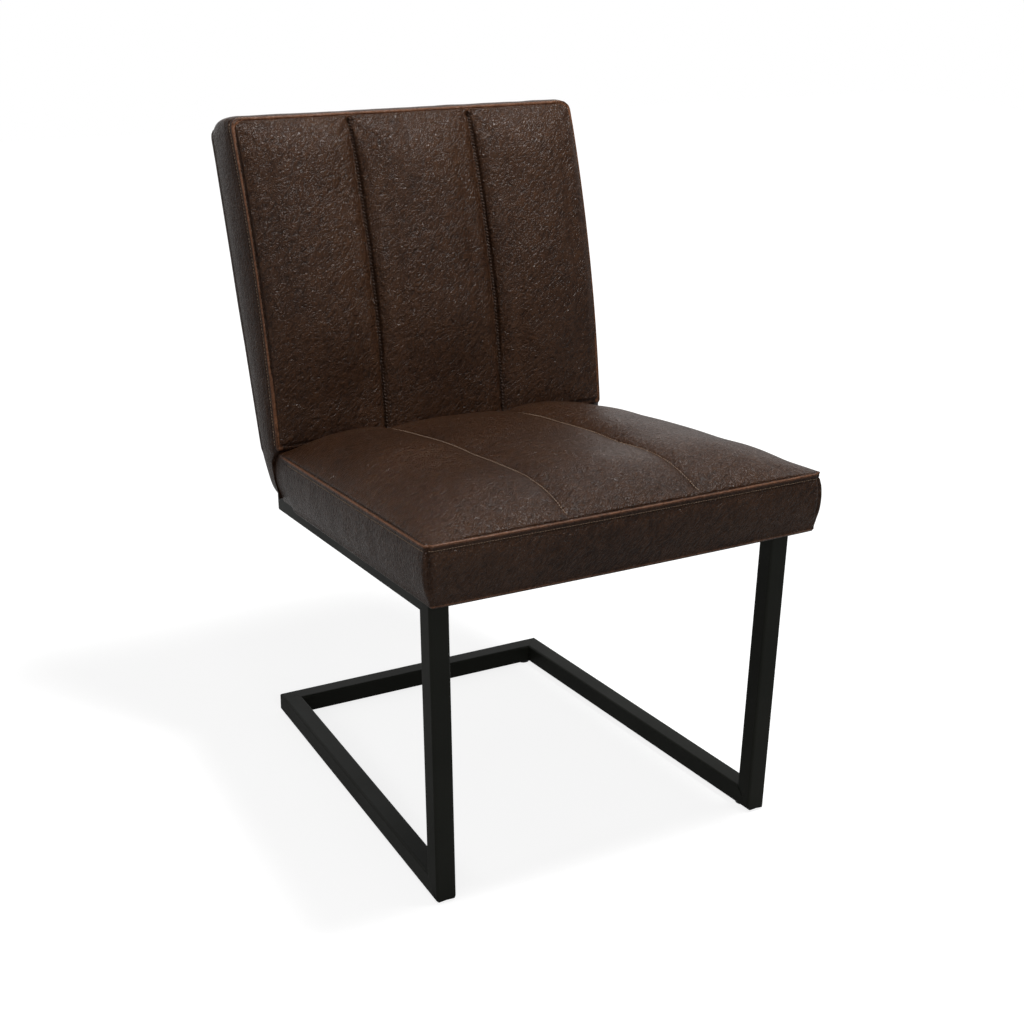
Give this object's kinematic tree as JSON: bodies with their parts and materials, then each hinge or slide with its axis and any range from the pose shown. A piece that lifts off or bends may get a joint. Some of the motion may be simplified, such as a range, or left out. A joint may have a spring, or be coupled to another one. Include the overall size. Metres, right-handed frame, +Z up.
{
  "type": "cantilever dining chair",
  "caption": "Cantilever dining chair: a square-tube sled frame carries a leather seat and a leaning leather back, both with stitched upright channels and boxed edges.",
  "frame": {"origin": "on the floor, under the middle of the chair's overall box", "axes": "+X to the right as seen from in front, which is the sitter's left, +Y from the front edge to the back, +Z up"},
  "size_m": [0.526, 0.6364, 0.8294],
  "materials": {
    "leather": "dark brown grained leather with a soft sheen",
    "black_powder_coat": "satin black powder coat",
    "black_plastic": "black moulded plastic",
    "zinc_plated_steel": "zinc plated",
    "plywood": "raw plywood",
    "foam": "open-cell foam",
    "dust_cover": "black non-woven cloth"
  },
  "bodies": {
    "root": {"back_board": "plywood", "back_foam": "foam", "back_front_left_panel": "leather", "back_front_middle_panel": "leather", "back_front_right_panel": "leather", "back_left_boxing": "leather", "back_rear_panel": "leather", "back_right_boxing": "leather", "back_screws": "zinc_plated_steel", "back_tie": "black_powder_coat", "back_top_boxing": "leather", "floor_glides": "black_plastic", "front_crossbar": "black_powder_coat", "left_back_upright": "black_powder_coat", "left_floor_runner": "black_powder_coat", "left_front_leg": "black_powder_coat", "left_seat_rail": "black_powder_coat", "middle_crossbar": "black_powder_coat", "rail_end_plugs": "black_plastic", "rear_crossbar": "black_powder_coat", "rear_floor_bar": "black_powder_coat", "right_back_upright": "black_powder_coat", "right_floor_runner": "black_powder_coat", "right_front_leg": "black_powder_coat", "right_seat_rail": "black_powder_coat", "seat_board": "plywood", "seat_bolts": "zinc_plated_steel", "seat_dust_cover": "dust_cover", "seat_foam": "foam", "seat_front_boxing": "leather", "seat_left_boxing": "leather", "seat_rear_boxing": "leather", "seat_right_boxing": "leather", "seat_tee_nuts": "zinc_plated_steel", "seat_top_left_panel": "leather", "seat_top_middle_panel": "leather", "seat_top_right_panel": "leather", "seat_washers": "zinc_plated_steel"}
  },
  "joints": []
}
